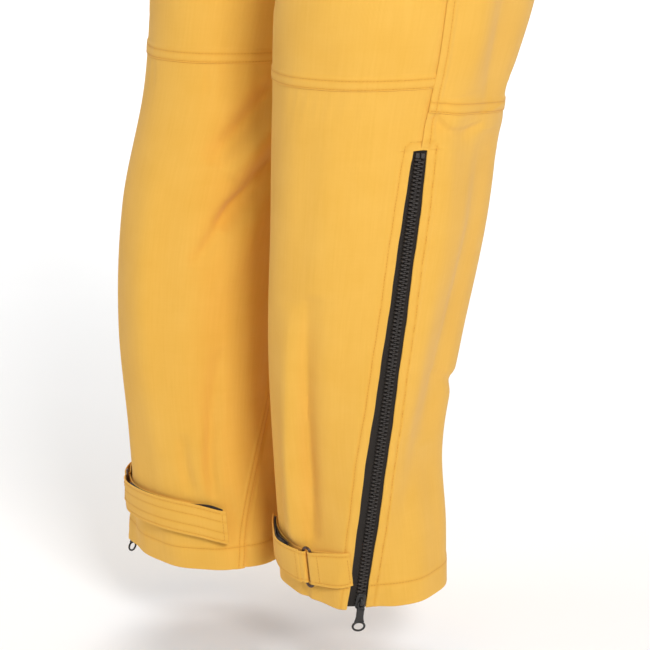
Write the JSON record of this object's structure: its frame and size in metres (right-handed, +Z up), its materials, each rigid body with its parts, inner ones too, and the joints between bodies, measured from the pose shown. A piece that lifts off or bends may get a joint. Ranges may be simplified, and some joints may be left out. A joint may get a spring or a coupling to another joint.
{
  "type": "over-trousers",
  "caption": "Yellow single-layer wildland fire over-trousers with outside leg zips, hook-and-loop ankle straps through rings, flapped thigh pockets and a belted waist.",
  "frame": {"origin": "centre of the waist opening, in the plane of the waistband's top edge", "axes": "+Z up towards the waist, -Y the way the wearer faces, +X the wearer's left"},
  "size_m": [0.4854, 0.3737, 1.0859],
  "materials": {
    "canvas": "matt yellow fire-resistant canvas, plain weave, with darker yellow lock stitching",
    "canvas_webbing": "the same yellow canvas, doubled and stitched along its edges",
    "zip_tape": "black woven tape",
    "zip_teeth": "charcoal moulded plastic, half matt",
    "zip_metal": "black enamelled metal",
    "ring_plastic": "dark brown plastic with a soft gloss",
    "hook_and_loop": "black hook and loop pile",
    "snap_brass": "blackened metal snap"
  },
  "bodies": {
    "trousers": {"belt_loop_back": "canvas_webbing", "belt_loop_left_front": "canvas_webbing", "belt_loop_left_rear": "canvas_webbing", "belt_loop_left_side": "canvas_webbing", "belt_loop_right_front": "canvas_webbing", "belt_loop_right_rear": "canvas_webbing", "belt_loop_right_side": "canvas_webbing", "fly_zip_stop": "zip_teeth", "fly_zip_tape_back": "zip_tape", "fly_zip_tape_front": "zip_tape", "fly_zip_teeth_back": "zip_teeth", "fly_zip_teeth_front": "zip_teeth", "left_ankle_ring": "ring_plastic", "left_leg_zip_stop": "zip_teeth", "left_leg_zip_tape_back": "zip_tape", "left_leg_zip_tape_front": "zip_tape", "left_leg_zip_teeth_back": "zip_teeth", "left_leg_zip_teeth_front": "zip_teeth", "left_loop_patch": "hook_and_loop", "left_pocket_bag": "canvas", "left_ring_tab": "canvas_webbing", "left_shin_back": "canvas", "left_shin_front": "canvas", "left_strap_sewn": "canvas_webbing", "left_thigh_back": "canvas", "left_thigh_front": "canvas", "right_ankle_ring": "ring_plastic", "right_leg_zip_stop": "zip_teeth", "right_leg_zip_tape_back": "zip_tape", "right_leg_zip_tape_front": "zip_tape", "right_leg_zip_teeth_back": "zip_teeth", "right_leg_zip_teeth_front": "zip_teeth", "right_loop_patch": "hook_and_loop", "right_pocket_bag": "canvas", "right_ring_tab": "canvas_webbing", "right_shin_back": "canvas", "right_shin_front": "canvas", "right_strap_sewn": "canvas_webbing", "right_thigh_back": "canvas", "right_thigh_front": "canvas", "waist_snap_stud": "snap_brass", "waistband_back": "canvas", "waistband_left": "canvas", "waistband_right": "canvas"},
    "left_leg_slider": {"left_leg_zip_slider": "zip_metal"},
    "left_leg_pull": {"left_leg_zip_pull": "zip_metal"},
    "left_loose_strap": {"left_strap_end": "canvas_webbing", "left_hook_patch": "hook_and_loop"},
    "left_flap": {"left_pocket_flap": "canvas"},
    "right_leg_slider": {"right_leg_zip_slider": "zip_metal"},
    "right_leg_pull": {"right_leg_zip_pull": "zip_metal"},
    "right_loose_strap": {"right_strap_end": "canvas_webbing", "right_hook_patch": "hook_and_loop"},
    "right_flap": {"right_pocket_flap": "canvas"},
    "fly_slider": {"fly_zip_slider": "zip_metal", "fly_zip_pull": "zip_metal"},
    "fly_cover": {"fly_flap": "canvas"},
    "waist_closure": {"waist_tab": "canvas_webbing", "waist_snap_cap": "snap_brass"}
  },
  "joints": [
    {"name": "left_leg_zip_slide", "type": "slide", "parent": "trousers", "child": "left_leg_slider", "axis": [0.0755, 0.0898, 0.9931], "range_m": [0, 0.443]},
    {"name": "left_leg_pull_swing", "type": "hinge", "parent": "left_leg_slider", "child": "left_leg_pull", "pos_m": [0.1579, -0.08327, -1.05174], "axis": [-0.3762, -0.9198, 0.1118], "range_deg": [0, 170]},
    {"name": "left_strap_peel", "type": "hinge", "parent": "trousers", "child": "left_loose_strap", "pos_m": [0.09721, -0.11893, -1.02179], "axis": [-0.0278, -0.0989, 0.9947], "range_deg": [0, 100]},
    {"name": "left_flap_lift", "type": "hinge", "parent": "trousers", "child": "left_flap", "pos_m": [0.20837, 0.01028, -0.192], "axis": [-0.1389, -0.9903, 0], "range_deg": [0, 150]},
    {"name": "right_leg_zip_slide", "type": "slide", "parent": "trousers", "child": "right_leg_slider", "axis": [-0.0745, 0.1841, 0.9801], "range_m": [0, 0.449]},
    {"name": "right_leg_pull_swing", "type": "hinge", "parent": "right_leg_slider", "child": "right_leg_pull", "pos_m": [-0.15791, -0.15145, -1.05167], "axis": [-0.371, 0.9071, -0.1986], "range_deg": [0, 170]},
    {"name": "right_strap_peel", "type": "hinge", "parent": "trousers", "child": "right_loose_strap", "pos_m": [-0.12205, -0.18315, -0.99669], "axis": [-0.0605, 0.0878, -0.9943], "range_deg": [0, 100]},
    {"name": "right_flap_lift", "type": "hinge", "parent": "trousers", "child": "right_flap", "pos_m": [-0.20837, 0.01021, -0.192], "axis": [-0.1389, 0.9903, 0], "range_deg": [0, 150]},
    {"name": "fly_zip_slide", "type": "slide", "parent": "trousers", "child": "fly_slider", "axis": [0.0063, 0.1206, -0.9927], "range_m": [0, 0.121]},
    {"name": "fly_flap_swing", "type": "hinge", "parent": "trousers", "child": "fly_cover", "pos_m": [0.03416, -0.12661, -0.08], "axis": [0, 0, 1], "range_deg": [0, 100]},
    {"name": "waist_tab_swing", "type": "hinge", "parent": "trousers", "child": "waist_closure", "pos_m": [0.04571, -0.12584, -0.038], "axis": [0, 0, 1], "range_deg": [0, 110]}
  ]
}
